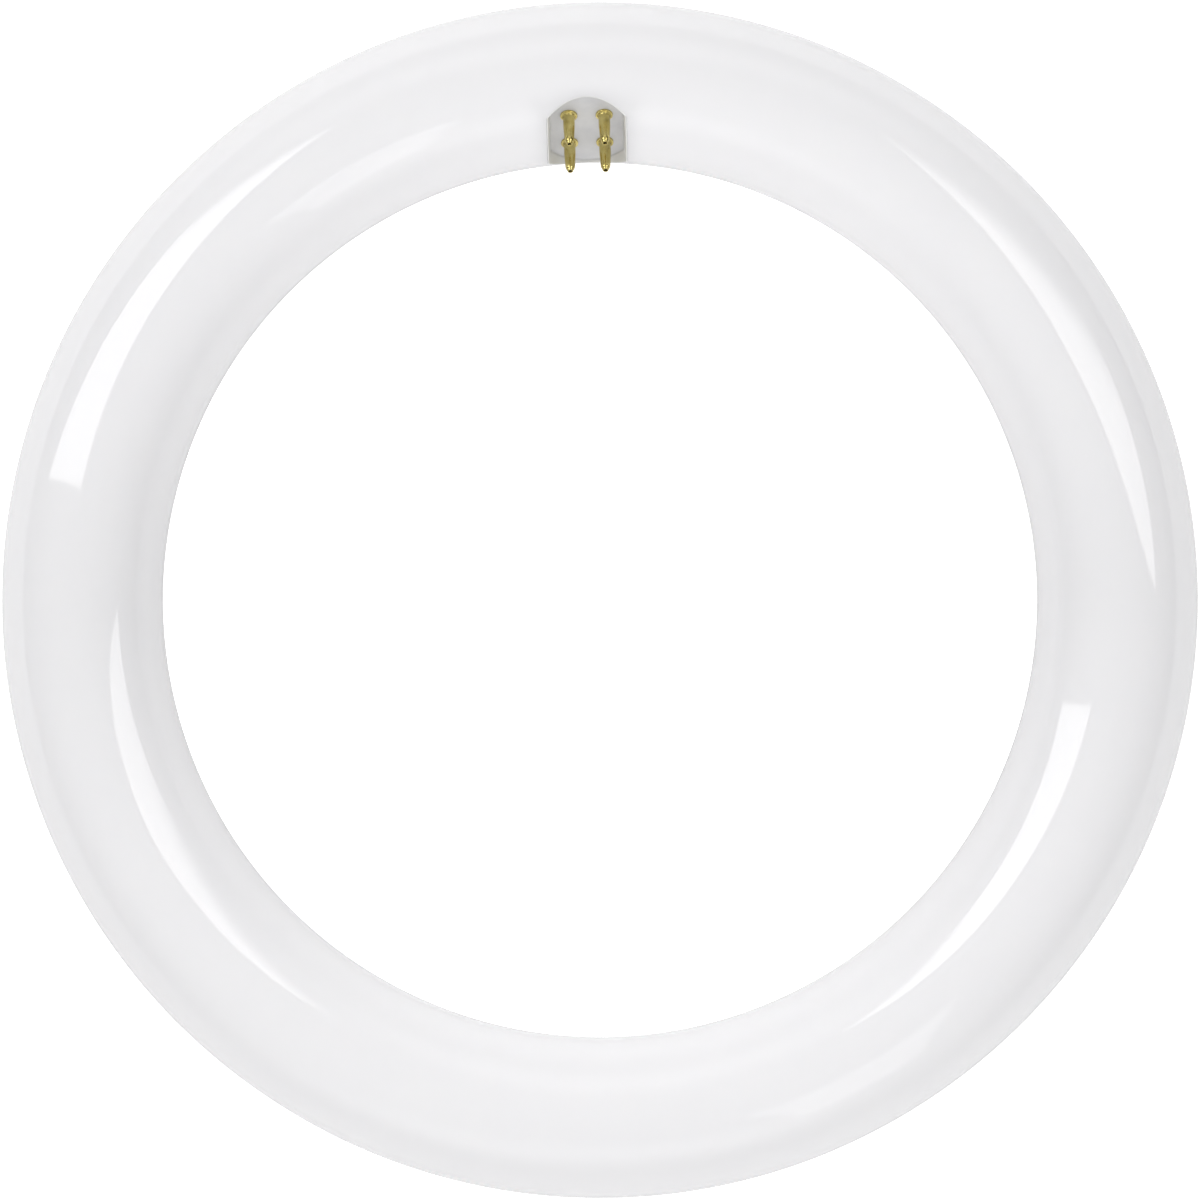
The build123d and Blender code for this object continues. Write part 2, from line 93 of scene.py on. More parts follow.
# %% Mesh helpers
def new_piece(name, points, quads, triangles=None):
    """Object with a mesh of the given points and faces, shaded smooth, at the origin."""
    mesh = bpy.data.meshes.new(name)
    faces = quads.tolist()
    if triangles is not None:
        faces += triangles.tolist()
    mesh.from_pydata(points.tolist(), [], faces)
    mesh.polygons.foreach_set("use_smooth", np.ones(len(mesh.polygons), bool))
    mesh.update()
    piece = bpy.data.objects.new(name, mesh)
    bpy.context.scene.collection.objects.link(piece)
    print(f"{name}: {len(mesh.vertices)} points, {len(mesh.polygons)} faces")
    return piece


def grid_quads(index):
    """Faces between the neighbours of a two-way array of point numbers. They look to the side from
    which the first way, turned anticlockwise by a quarter, gives the second way."""
    corners = (index[:-1, :-1], index[1:, :-1], index[1:, 1:], index[:-1, 1:])
    return np.stack(corners, axis=-1).reshape(-1, 4)


def base_point(across, up, out, tilt=BASE_TILT):
    """Point from its distances in the base's own frame. Across runs along +X, out runs along the
    pins, and up runs square to both, towards the top of the tube. The frame's origin is on the
    tube's centre line, at the middle of the base, and out is tilted up from the ring's plane."""
    y = RING_RADIUS + up * np.sin(tilt) - out * np.cos(tilt)
    z = up * np.cos(tilt) + out * np.sin(tilt)
    return np.stack(np.broadcast_arrays(across, y, z), axis=-1)


# %% [markdown]
# ## The opal tube
#
# The real tube is two moulded half rings, joined along the middle plane, with one opening for the
# base. A half ring is a grid over two angles: one runs round the ring and one runs over the tube.
# The opening can't be cut with a Boolean without leaving slivers that show in the gloss. So the
# grid has a window there, and a second grid fills it: its first row is the window's border, its
# next rows close in on the opening's outline, and its last rows roll over the edge and go down
# into the collar. A Solidify modifier then gives the wall. It takes half of the real thickness,
# because the carrier's rim sits in a rebate that is half as deep as the wall, and less round the
# opening, where the plug's flange needs the room.

# %% The opening's outline
def plug_outline(turn, margin):
    """Outline of the plug, grown by a margin: a circle cut by two flats. Its distances across and
    up are given by the angle from straight up."""
    to_flat = (PLUG_HALF_WIDTH + margin) / np.maximum(np.abs(np.sin(turn)), 1e-9)
    reach = np.minimum(PLUG_RADIUS + margin, to_flat)
    return reach * np.sin(turn), reach * np.cos(turn)


# %% Points on the tube
NEWTON_ROUNDS = 12


def tube_point(round_angle, over_angle):
    """Point on the tube. The first angle runs round the ring from +Y, anticlockwise. The second
    runs over the tube, from its outermost line across the top to its innermost line."""
    reach = RING_RADIUS + TUBE_RADIUS * np.cos(over_angle)
    x = -reach * np.sin(round_angle)
    y = reach * np.cos(round_angle)
    z = TUBE_RADIUS * np.sin(over_angle)
    return np.stack(np.broadcast_arrays(x, y, z), axis=-1)


def height_on_tube(across, up, tilt):
    """How far out, along an axis with this tilt, the tube's surface lies above a point of the base
    plane. Newton's rule is applied to the distance from the tube's centre line."""
    out = np.sqrt(np.maximum(TUBE_RADIUS**2 - up**2, 0))
    for _ in range(NEWTON_ROUNDS):
        y = RING_RADIUS + up * np.sin(tilt) - out * np.cos(tilt)
        z = up * np.cos(tilt) + out * np.sin(tilt)
        radial = np.hypot(across, y)
        error = (radial - RING_RADIUS) ** 2 + z**2 - TUBE_RADIUS**2
        slope = -2 * (radial - RING_RADIUS) * y / radial * np.cos(tilt) + 2 * z * np.sin(tilt)
        out = out - error / slope
    return out


def angles_on_tube(across, up, tilt):
    """The tube's two angles at the place that lies above a point of the base plane. The angle over
    the tube runs on past the innermost line, up to a full turn."""
    out = height_on_tube(across, up, tilt)
    y = RING_RADIUS + up * np.sin(tilt) - out * np.cos(tilt)
    z = up * np.cos(tilt) + out * np.sin(tilt)
    over = np.arctan2(z, np.hypot(across, y) - RING_RADIUS)
    return np.arctan2(-across, y), np.where(over < 0, over + 2 * np.pi, over)


# %% Rows of points round the opening
OUTLINE_SAMPLES = 4000
LIP_RADIUS = 0.14 * MM
SLIDE_REACH = 1.5


def outline_turns(margin, tilt, side_over, corner_turn, top_cells):
    """The outline's turn that belongs to each place of the window's border. Along the sides, the
    outline's angle over the tube starts at the seam as the border's does. It is divided by a
    number that grows from 1, so it rises ever slower and meets the corner without turning back.
    Along the top, the turn runs evenly from corner to corner."""
    turn = np.linspace(0, np.pi, OUTLINE_SAMPLES)
    _, over = angles_on_tube(*plug_outline(turn, margin), tilt)
    corner_over = np.interp(corner_turn, turn, over)
    from_seam = np.pi - side_over
    share = (np.pi - corner_over) / from_seam[0]
    wanted = np.pi - from_seam / (1 + (1 / share - 1) * from_seam / from_seam[0])
    lower = turn >= corner_turn / 2
    rising = np.argsort(over[lower])
    side_turns = np.interp(wanted, over[lower][rising], turn[lower][rising])
    top_turns = corner_turn * (1 - np.arange(1, top_cells) / (top_cells / 2))
    return np.concatenate([-side_turns[::-1], -top_turns, side_turns])


def sunk_row(turns, margin, depth, tilt, collar_depth):
    """The outline with this margin, sunk along the opening's axis. Close to the seam, a point
    slides along the outline as it sinks, so that it stays in the half that it belongs to. The
    slide dies away with height, and ends at SLIDE_REACH times the drop of the collar's foot."""
    across, up = plug_outline(turns, margin)
    out = height_on_tube(across, up, tilt)
    above_seam = up * np.cos(tilt) + out * np.sin(tilt)
    reach = SLIDE_REACH * (collar_depth + LIP_RADIUS) * abs(np.sin(tilt))
    slide = 1 - np.clip(above_seam / reach, 0, 1)
    up = up + depth * np.tan(tilt) * slide
    radius, half_width = PLUG_RADIUS + margin, PLUG_HALF_WIDTH + margin
    beside_middle = np.minimum(half_width, np.sqrt(np.maximum(radius**2 - up**2, 0)))
    return base_point(np.sign(across) * beside_middle, up, out - depth, tilt)


# %% The opening's edge and collar
ON_TUBE_ROWS = 9


def opening_rows(border_angles, tilt, side_over, corner_turn, top_cells, collar_depth):
    """Rows of points that fill the window: some on the tube, evenly spaced between the window's
    border and the opening's edge, some round the edge's quarter turn and some down the collar."""
    def turns(margin):
        return outline_turns(margin, tilt, side_over, corner_turn, top_cells)

    edge_margin = PLUG_GAP + LIP_RADIUS
    outline = plug_outline(turns(edge_margin), edge_margin)
    edge = np.stack(angles_on_tube(*outline, tilt), axis=-1)
    rows = []
    for share in np.linspace(0, 1, ON_TUBE_ROWS + 1)[1:]:
        on_way = border_angles + (edge - border_angles) * share
        rows.append(tube_point(on_way[:, 0], on_way[:, 1]))
    for roll in np.radians([22, 45, 67, 90]):
        margin = PLUG_GAP + LIP_RADIUS * (1 - np.sin(roll))
        depth = LIP_RADIUS * (1 - np.cos(roll))
        rows.append(sunk_row(turns(margin), margin, depth, tilt, collar_depth))
    for depth in LIP_RADIUS + np.linspace(0, collar_depth, 5)[1:]:
        rows.append(sunk_row(turns(PLUG_GAP), PLUG_GAP, depth, tilt, collar_depth))
    return rows


# %% The seam's rounded edge
SEAM_RADIUS = 0.16 * MM
SEAM_GAP = 0.015 * MM


def round_seam(points):
    """Draws the surface in by a quarter circle close to the middle plane, and keeps it a hair's
    breadth above that plane, so that the two halves meet in a fine groove."""
    radial = np.hypot(points[:, 0], points[:, 1])
    height = np.clip(points[:, 2], 0, SEAM_RADIUS)
    drop = SEAM_RADIUS - np.sqrt(SEAM_RADIUS**2 - (SEAM_RADIUS - height) ** 2)
    inward = (RING_RADIUS + (radial - RING_RADIUS) * (1 - drop / TUBE_RADIUS)) / radial
    points[:, :2] *= inward[:, None]
    points[:, 2] = np.maximum(points[:, 2], SEAM_GAP)


# %% Half of the tube
TURN_STEPS = 480
WINDOW_STEPS = 10
OVER_STEP = np.radians(2.25)
NEAR_SEAM = np.radians([0, 0.12, 0.27, 0.45, 0.7, 1.2])
THIN_WALL = 0.1


def half_tube(name, tilt, window_top, corner_turn, collar_depth):
    """Half of the opal tube, for an opening whose axis has this tilt. The window reaches from the
    innermost line of the tube up to window_top, and the point of the outline at corner_turn is
    tied to the window's upper corners. The lower half is the same surface for the opposite tilt,
    turned over. The vertex group says how thick the wall is: whole on the ring, thin at the
    opening."""
    middle = np.arange(1, round(np.pi / OVER_STEP)) * OVER_STEP
    over = np.concatenate([NEAR_SEAM, middle, np.pi - NEAR_SEAM[::-1]])
    around = (np.arange(TURN_STEPS) - WINDOW_STEPS) * 2 * np.pi / TURN_STEPS
    top_row = int(np.argmin(np.abs(over - window_top)))
    last = 2 * WINDOW_STEPS

    # The ring's own grid, without the cells of the window
    angles = np.stack(np.meshgrid(around, over, indexing="ij"), axis=-1)
    number = np.arange(TURN_STEPS * len(over)).reshape(TURN_STEPS, len(over))
    closed = np.vstack([number, number[:1]])
    behind = grid_quads(closed[last:])
    beside = grid_quads(closed[:last + 1, :top_row + 1])

    # The window's border: up the +side from the seam, along its top and down the other side
    border = np.concatenate([
        number[last, :top_row:-1], number[last::-1, top_row], number[0, top_row + 1:]
    ])
    rows = opening_rows(angles.reshape(-1, 2)[border], tilt, over[top_row:], corner_turn, last,
                        collar_depth)
    new_numbers = number.size + np.arange(len(rows) * len(border)).reshape(len(rows), -1)
    patch = grid_quads(np.concatenate([border[None], new_numbers]))
    points = np.concatenate([tube_point(angles[..., 0], angles[..., 1]).reshape(-1, 3), *rows])
    round_seam(points)

    row_walls = np.full(len(rows), THIN_WALL)
    row_walls[:ON_TUBE_ROWS] = np.linspace(1, THIN_WALL, ON_TUBE_ROWS)
    walls = np.concatenate([np.ones(number.size), np.repeat(row_walls, len(border))])

    used, quads = np.unique(np.concatenate([behind, beside, patch]), return_inverse=True)
    points, walls, quads = points[used], walls[used], quads.reshape(-1, 4)
    if tilt < 0:
        points[:, 2] *= -1
        quads = quads[:, ::-1]
    piece = new_piece(name, points, quads)
    group = piece.vertex_groups.new(name="wall")
    for share in np.unique(walls):
        group.add(np.flatnonzero(walls == share).tolist(), float(share), "REPLACE")
    return piece


upper_tube = half_tube("opal_tube_upper", tilt=BASE_TILT, window_top=np.radians(92),
                       corner_turn=np.radians(48), collar_depth=COLLAR_DEPTH)
lower_tube = half_tube("opal_tube_lower", tilt=-BASE_TILT, window_top=np.radians(162),
                       corner_turn=np.radians(30), collar_depth=TUBE_WALL)

# %% The tube's wall
WALL_AT_REBATE = TUBE_WALL / 2

for tube, node in ((upper_tube, "rear_shell"), (lower_tube, "front_shell")):
    wall = tube.modifiers.new("moulded wall", "SOLIDIFY")
    wall.thickness = WALL_AT_REBATE
    wall.offset = -1
    wall.vertex_group = "wall"
    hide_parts(node)
    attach(tube, "root")

# %% [markdown]
# ## The base plug
#
# The plug is a grey moulding with the same outline as the opening. Its flat face lies deeper than
# the tube's surface, and a thin rim lines the opening from the face up to that surface. So the rim
# is lowest at the top and bottom of the base and highest at its flats. The plug's surface is a
# profile carried round the outline: from the middle of the face, up the rim's slanting inner side,
# over its round top, down the outside, out over the flange that keeps the plug behind the collar
# and back to the middle of its rear.

# %% Turns round the plug
OUTLINE_STEPS = 192


def plug_turns(margins):
    """Turns at which each row of points is made, so that every row has a point at each of the
    outline's four corners. Evenly spread turns are shifted by a triangle wave: its peaks bring the
    points at 45 degrees and the like to the corners."""
    even = np.linspace(0, 2 * np.pi, OUTLINE_STEPS, endpoint=False)
    corner = np.arcsin((PLUG_HALF_WIDTH + margins) / (PLUG_RADIUS + margins))
    wave = np.interp(np.degrees(even), [0, 45, 135, 225, 315, 360], [0, 1, -1, 1, -1, 0])
    return even[None, :] + (corner[:, None] - np.pi / 4) * wave[None, :]


# %% The plug's profile
RIM_FOOT = 0.5 * MM
RIM_TOP = 0.2 * MM
RIM_ROUND = 0.1 * MM
RIM_BELOW_TUBE = 0.03 * MM
FLANGE_EDGE = 0.2 * MM
FLANGE_CLEARANCE = 0.6 * MM
PLUG_BACK = PLUG_FACE - PLUG_DEPTH
FLANGE_FACE = PLUG_FACE - COLLAR_DEPTH


def plug_profile(top):
    """Margins of the profile's rows, and their heights for each place of the outline. The rim's
    rows lie at a share of the way from the face to its top, whose height differs from place to
    place. Its round top is half an ellipse."""
    # Across the face, up the rim's inner side, over its top, then down outside and to the rear
    face = np.array([-6, -4, -2, -1.2, -0.8]) * MM - RIM_FOOT / 4
    rise = np.array([0, 0.02, 0.08, 0.3, 0.6, 0.85, 0.93])
    inside = -RIM_FOOT + (RIM_FOOT - RIM_TOP) * rise
    over = np.radians([30, 60, 90, 120, 150, 180])
    rounded = -RIM_TOP / 2 - RIM_TOP / 2 * np.cos(over)
    outside = np.array([
        (0, PLUG_FACE - COLLAR_DEPTH / 2), (0, FLANGE_FACE + 0.1 * MM), (0, FLANGE_FACE),
        (FLANGE_WIDTH - FLANGE_EDGE, FLANGE_FACE), (FLANGE_WIDTH, FLANGE_FACE - FLANGE_EDGE),
        (FLANGE_WIDTH, PLUG_BACK), (-3 * MM, PLUG_BACK), (-6 * MM, PLUG_BACK),
    ])
    margins = np.concatenate([face, inside, rounded, outside[:, 0]])
    heights = np.concatenate([
        np.full((len(face), OUTLINE_STEPS), PLUG_FACE),
        PLUG_FACE + (top - PLUG_FACE) * rise[:, None],
        top + RIM_ROUND * np.sin(over)[:, None],
        np.repeat(outside[:, 1:], OUTLINE_STEPS, axis=1),
    ])
    return margins, heights


# %% Plug surface
def plug_surface():
    """Closed surface of the plug. Each row of points is the plug's outline, drawn in or grown by
    its margin. Below the flange's face, the rows are drawn in so far that they stay clear of the
    tube's inner side. A fan of triangles round a middle point closes the face and the rear."""
    edge = plug_outline(plug_turns(np.zeros(1))[0], 0.0)
    top = height_on_tube(*edge, BASE_TILT) - RIM_BELOW_TUBE - RIM_ROUND
    margins, heights = plug_profile(top)
    across, up = plug_outline(plug_turns(margins), margins[:, None])

    cavity = TUBE_RADIUS - TUBE_WALL - FLANGE_CLEARANCE
    room = np.sqrt(cavity**2 - np.minimum(heights, FLANGE_FACE) ** 2)
    shrink = np.where(heights <= FLANGE_FACE, np.minimum(1, room / np.hypot(across, up)), 1)
    points = base_point(across * shrink, up * shrink, heights).reshape(-1, 3)
    centres = base_point(np.zeros(2), np.zeros(2), np.array([PLUG_FACE, PLUG_BACK]))

    number = np.arange(len(points)).reshape(len(margins), OUTLINE_STEPS)
    quads = grid_quads(np.hstack([number, number[:, :1]]))[:, ::-1]
    after = np.roll(np.arange(OUTLINE_STEPS), -1)
    middle = np.full(OUTLINE_STEPS, len(points))
    front = np.stack([number[0][after], number[0], middle], axis=1)
    rear = np.stack([number[-1], number[-1][after], middle + 1], axis=1)
    return np.concatenate([points, centres]), quads, np.concatenate([front, rear])


plug = new_piece("base_plug", *plug_surface())
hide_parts("base_insert")
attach(plug, "root")

# %% [markdown]
# ## The contact pins
#
# The four pins are turned from brass: a round disc on the plug, a neck that flows into the shank,
# a shoulder and a short narrow tip with the bore open at its end. A turned piece is a profile spun
# about its axis, so a pin is one profile, given as radii and heights, with its corners rounded by
# short arcs.

# %% The pins' sizes
PIN_RADIUS = 1.05 * MM
PIN_ROOT_RADIUS = 1.3 * MM
PIN_BORE_RADIUS = 0.55 * MM
PIN_NOSE_RADIUS = 0.9 * MM
PIN_TIP_RADIUS = 0.525 * MM
PIN_TIP_BORE_RADIUS = 0.34 * MM
PIN_LENGTH = 6.6 * MM
PIN_NOSE = 1.4 * MM
PIN_SHOULDER = 1.02 * MM
PIN_TAPER = 2.4 * MM
PIN_NECK = 0.4 * MM
PIN_DISC_RADIUS = 1.55 * MM
PIN_DISC_HEIGHT = 0.35 * MM
PIN_TAIL = 1.2 * MM
PIN_EDGE = 0.08 * MM


# %% The pins' profile
def arc(centre, radius, start, end, count):
    """Points of a round stretch of the profile, as radius and height, between two angles that are
    measured from the outward direction. The radius may differ in the two directions."""
    angle = np.radians(np.linspace(start, end, count))
    wide, high = np.broadcast_to(radius, 2)
    return np.stack([centre[0] + wide * np.cos(angle), centre[1] + high * np.sin(angle)], axis=1)


def pin_profile():
    """Closed profile of a pin, from the foot of its bore down, out and up to its tip and back down
    the bore. The shoulder is most of a quarter of an ellipse, and a slightly slanting line leads
    on from it to the tip's rounded rim."""
    nose_start = PIN_LENGTH - PIN_NOSE
    tail_end = -PLUG_DEPTH - PIN_TAIL
    disc = PIN_DISC_RADIUS - PIN_EDGE
    neck = (disc - PIN_RADIUS, PIN_NECK)
    shoulder = (PIN_NOSE_RADIUS - PIN_TIP_RADIUS, PIN_SHOULDER)
    rim_height = PIN_LENGTH - PIN_EDGE
    return np.concatenate([
        [(PIN_BORE_RADIUS, tail_end), (PIN_ROOT_RADIUS, tail_end), (PIN_ROOT_RADIUS, 0), (disc, 0)],
        arc((disc, PIN_EDGE), PIN_EDGE, -60, 0, 3),
        arc((disc, PIN_DISC_HEIGHT - PIN_EDGE), PIN_EDGE, 0, 90, 4),
        arc((disc, PIN_DISC_HEIGHT + PIN_NECK), neck, 270, 180, 8)[1:],
        [(PIN_RADIUS, nose_start - PIN_TAPER)],
        arc((PIN_TIP_RADIUS, nose_start), shoulder, 0, 78, 9),
        arc((PIN_TIP_RADIUS - PIN_EDGE, rim_height), PIN_EDGE, 5, 90, 4),
        arc((PIN_TIP_BORE_RADIUS + PIN_EDGE, rim_height), PIN_EDGE, 90, 180, 4),
        [(PIN_TIP_BORE_RADIUS, PIN_LENGTH - PIN_NOSE / 2), (PIN_BORE_RADIUS, nose_start)],
    ])


# %% Pin surface
PIN_STEPS = 64


def pin_surface(across, up):
    """Surface of a pin whose axis is at this place of the plug's face: its profile, spun."""
    radius, height = pin_profile().T
    turn = np.linspace(0, 2 * np.pi, PIN_STEPS, endpoint=False)
    points = base_point(
        across + radius[:, None] * np.sin(turn),
        up + radius[:, None] * np.cos(turn),
        PLUG_FACE + np.repeat(height[:, None], PIN_STEPS, axis=1),
    ).reshape(-1, 3)
    number = np.arange(len(points)).reshape(len(radius), PIN_STEPS)
    closed = np.vstack([number, number[:1]])
    return points, grid_quads(np.hstack([closed, closed[:, :1]]))


pins = []
for mount in pin_mounts:
    place = np.array(mount["pos_m"]) - (0, RING_RADIUS, 0)
    pin_up = place[1] * np.sin(BASE_TILT) + place[2] * np.cos(BASE_TILT)
    pin_name = mount["name"].replace("contact_", "")
    pin = new_piece(f"brass_{pin_name}", *pin_surface(place[0], pin_up))
    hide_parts(pin_name)
    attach(pin, "root")
    pins.append(pin)

# %% [markdown]
# ## Finishes
#
# A finish is a small tree of nodes. One helper adds a node with its settings and its links, and one
# turns a colour written as on the web into the linear light that the shader works in. Sizes of
# patterns are real millimetres: a texture's scale is one over the size of its motif in metres.

# %% Material helpers
def linear(hex_colour):
    """Linear red, green, blue and 1 from an sRGB colour such as #EDEDEF."""
    value = np.array([int(hex_colour[i:i + 2], 16) for i in (1, 3, 5)]) / 255
    low = value / 12.92
    high = ((value + 0.055) / 1.055) ** 2.4
    return (*np.where(value <= 0.04045, low, high).tolist(), 1.0)


def add(tree, kind, settings=None, **inputs):
    """Adds a node. Settings are its own properties. An input is a value, or an output to link. It
    goes by its name, with _ for a space, or by _ and its number where the name isn't its own."""
    node = tree.nodes.new(kind)
    for name, value in (settings or {}).items():
        setattr(node, name, value)
    for name, value in inputs.items():
        socket = node.inputs[int(name[1:])] if name[0] == "_" else node.inputs[
            name.replace("_", " ")]
        if isinstance(value, bpy.types.NodeSocket):
            tree.links.new(value, socket)
        else:
            socket.default_value = value
    return node


def finish_named(name):
    """New material with an empty tree, and its tree, its output and its Object coordinates."""
    material = bpy.data.materials.new(name)
    material.use_nodes = True
    tree = material.node_tree
    tree.nodes.clear()
    output = tree.nodes.new("ShaderNodeOutputMaterial")
    place = tree.nodes.new("ShaderNodeTexCoord").outputs["Object"]
    return material, tree, output, place


def pattern_scale(size_mm):
    """Scale of a texture whose motif measures this many millimetres."""
    return 1 / (size_mm * MM)


def between(tree, factor, low, high):
    """Output that runs from low to high as the factor runs from 0 to 1."""
    return add(tree, "ShaderNodeMapRange", Value=factor, To_Min=low, To_Max=high).outputs[0]


def two_colours(tree, factor, first, second):
    """Output that mixes two colours. The first may also be the output of another node."""
    first = linear(first) if isinstance(first, str) else first
    mix = add(tree, "ShaderNodeMix", {"data_type": "RGBA"}, Factor=factor, A=first,
              B=linear(second))
    return mix.outputs["Result"]


def along_pins(tree, place):
    """Output that gives how far a place lies along the pins' axis, in metres."""
    return add(tree, "ShaderNodeVectorMath", {"operation": "DOT_PRODUCT"}, _0=place,
               _1=tuple(PIN_AXIS)).outputs["Value"]


# %% [markdown]
# ### Opal polycarbonate
#
# The tube is moulded from milk-white polycarbonate. It is glossy and hard, but light goes a few
# millimetres into it, so its shading is soft. The finish has subsurface scattering, a refractive
# index of 1.585, and very faint waves and haze from the mould, seen only in its reflections.

# %% Opal polycarbonate
def opal_polycarbonate():
    """Milk-white and glossy, with light scattered under its surface."""
    material, tree, output, place = finish_named("opal_polycarbonate")
    haze = add(tree, "ShaderNodeTexNoise", Vector=place, Scale=pattern_scale(9.0), Detail=4.0,
               Roughness=0.6).outputs["Fac"]
    waves = add(tree, "ShaderNodeTexNoise", Vector=place, Scale=pattern_scale(28.0),
                Detail=1.0).outputs["Fac"]
    bump = add(tree, "ShaderNodeBump", Height=waves, Strength=0.05, Distance=0.4 * MM)
    shader = add(
        tree, "ShaderNodeBsdfPrincipled",
        Base_Color=two_colours(tree, haze, "#EEEDEF", "#F1F0F1"),
        Roughness=between(tree, haze, 0.03, 0.06), IOR=1.585,
        Subsurface_Weight=0.25, Subsurface_Radius=(1.0, 0.95, 0.9), Subsurface_Scale=2.5 * MM,
        Normal=bump.outputs["Normal"],
    )
    tree.links.new(shader.outputs["BSDF"], output.inputs["Surface"])
    return material


# %% [markdown]
# ### Grey base plastic
#
# The plug is glass-filled polyester, moulded satin. Its face has the fine grain of a spark-eroded
# mould, and its grey is painted in faint random clouds of shade and reflection. The rim is painted
# paler than the face, as painted light against the shade that falls on it in the recess.

# %% Base plastic
# How far up the rim the painted light takes to reach its full paleness.
RIM_BLEND = 0.4 * MM


def base_plastic():
    """Satin grey in faint clouds of painted shade and reflection, with a fine grain. It turns paler
    from the face up the rim, as painted light.
    """
    material, tree, output, place = finish_named("base_plastic")
    satin_and_shade_clouds = add(tree, "ShaderNodeTexNoise", Vector=place, Scale=pattern_scale(4.0), Detail=3.0,
                 Roughness=0.55).outputs["Fac"]
    grain = add(tree, "ShaderNodeTexNoise", Vector=place, Scale=pattern_scale(0.22),
                Detail=2.0).outputs["Fac"]
    bump = add(tree, "ShaderNodeBump", Height=grain, Strength=0.25, Distance=0.02 * MM)
    face_along = RING_RADIUS * PIN_AXIS[1] + PLUG_FACE
    # Painted light: the rim is painted paler than the face, up to #E8E8E7, against the shade that
    # falls on it in the recess.
    rim_painted_light = add(tree, "ShaderNodeMapRange", Value=along_pins(tree, place), From_Min=face_along,
                 From_Max=face_along + RIM_BLEND).outputs[0]
    # Painted shade and reflection: the face's grey goes darker and lighter in random clouds, from
    # #B9B9BD to #D8D8D8. The same clouds vary the satin's roughness.
    face_colour = two_colours(tree, satin_and_shade_clouds, "#B9B9BD", "#D8D8D8")
    shader = add(
        tree, "ShaderNodeBsdfPrincipled",
        Base_Color=two_colours(tree, rim_painted_light, face_colour, "#E8E8E7"),
        Roughness=between(tree, satin_and_shade_clouds, 0.32, 0.46), IOR=1.57,
        Normal=bump.outputs["Normal"],
    )
    tree.links.new(shader.outputs["BSDF"], output.inputs["Surface"])
    return material


# %% [markdown]
# ### Turned brass
#
# The pins are plain brass, left as they came off the lathe: bright, a little green next to gold,
# with turning marks round the shank. The marks are bands along the pins' axis. Real ones are about
# 0.05 mm apart. They are drawn 0.16 mm apart, so that they can show.

# %% Turned brass
def turned_brass():
    """Bright metal with fine bands across the pins' axis and a faint, uneven tarnish."""
    material, tree, output, place = finish_named("turned_brass")
    bands = add(tree, "ShaderNodeTexNoise", {"noise_dimensions": "1D"}, W=along_pins(tree, place),
                Scale=pattern_scale(0.16), Detail=2.0).outputs["Fac"]
    tarnish = add(tree, "ShaderNodeTexNoise", Vector=place, Scale=pattern_scale(1.4), Detail=4.0,
                  Roughness=0.6).outputs["Fac"]
    bump = add(tree, "ShaderNodeBump", Height=bands, Strength=0.12, Distance=0.02 * MM)
    shader = add(
        tree, "ShaderNodeBsdfPrincipled",
        Base_Color=two_colours(tree, tarnish, "#B6A04C", "#E6DA98"),
        Metallic=1.0, Roughness=between(tree, tarnish, 0.11, 0.23),
        Normal=bump.outputs["Normal"],
    )
    tree.links.new(shader.outputs["BSDF"], output.inputs["Surface"])
    return material


# %% Finishes of the pieces that show
opal = opal_polycarbonate()
grey = base_plastic()
brass = turned_brass()
upper_tube.data.materials.append(opal)
lower_tube.data.materials.append(opal)
plug.data.materials.append(grey)
for pin in pins:
    pin.data.materials.append(brass)


# %% [markdown]
# ### Finishes inside the tube
#
# The driver, the diodes and their carrier are sealed in, and show only when the tube is opened.
# They still have the finishes of the real ones. Each is one shader over two noises: a broad one
# that shifts the colour, and a fine one for the surface's relief. The table gives the two colours,
# the roughness, whether it is metal, and the sizes of the broad and fine pattern in millimetres.

# %% Inner finishes
INNER_FINISHES = {
    "carrier_aluminium": ("#B9BCC0", "#C9CBCE", 0.35, 1.0, 12.0, 0.4),
    "white_board": ("#E6E8E6", "#EFF0EE", 0.4, 0.0, 8.0, 0.5),
    "diode_resin": ("#E2C243", "#EBD060", 0.25, 0.0, 1.5, 0.3),
    "link_tin": ("#B8B8B6", "#C6C6C4", 0.3, 1.0, 3.0, 0.3),
    "screw_steel": ("#A7A8AA", "#B8B9BB", 0.28, 1.0, 2.0, 0.2),
    "insulating_film": ("#DCD7C8", "#E4E0D4", 0.5, 0.0, 6.0, 0.4),
    "spacer_nylon": ("#E2E2DD", "#EBEBE7", 0.5, 0.0, 2.0, 0.3),
    "glass_fibre_board": ("#1F5C35", "#2A6E42", 0.35, 0.0, 5.0, 0.5),
    "can_sleeve": ("#12161F", "#1B2130", 0.22, 0.0, 4.0, 0.3),
    "resistor_lacquer": ("#5F8F88", "#70A098", 0.3, 0.0, 2.0, 0.2),
    "varistor_epoxy": ("#1B3F86", "#264F9C", 0.28, 0.0, 2.0, 0.3),
    "film_case": ("#B65A17", "#C66A24", 0.3, 0.0, 3.0, 0.3),
    "ferrite": ("#26272A", "#323337", 0.55, 0.0, 1.5, 0.15),
    "chip_resin": ("#141414", "#1E1E1F", 0.5, 0.0, 1.0, 0.1),
    "lead_insulation": ("#D9D9D3", "#E3E3DE", 0.35, 0.0, 3.0, 0.3),
}


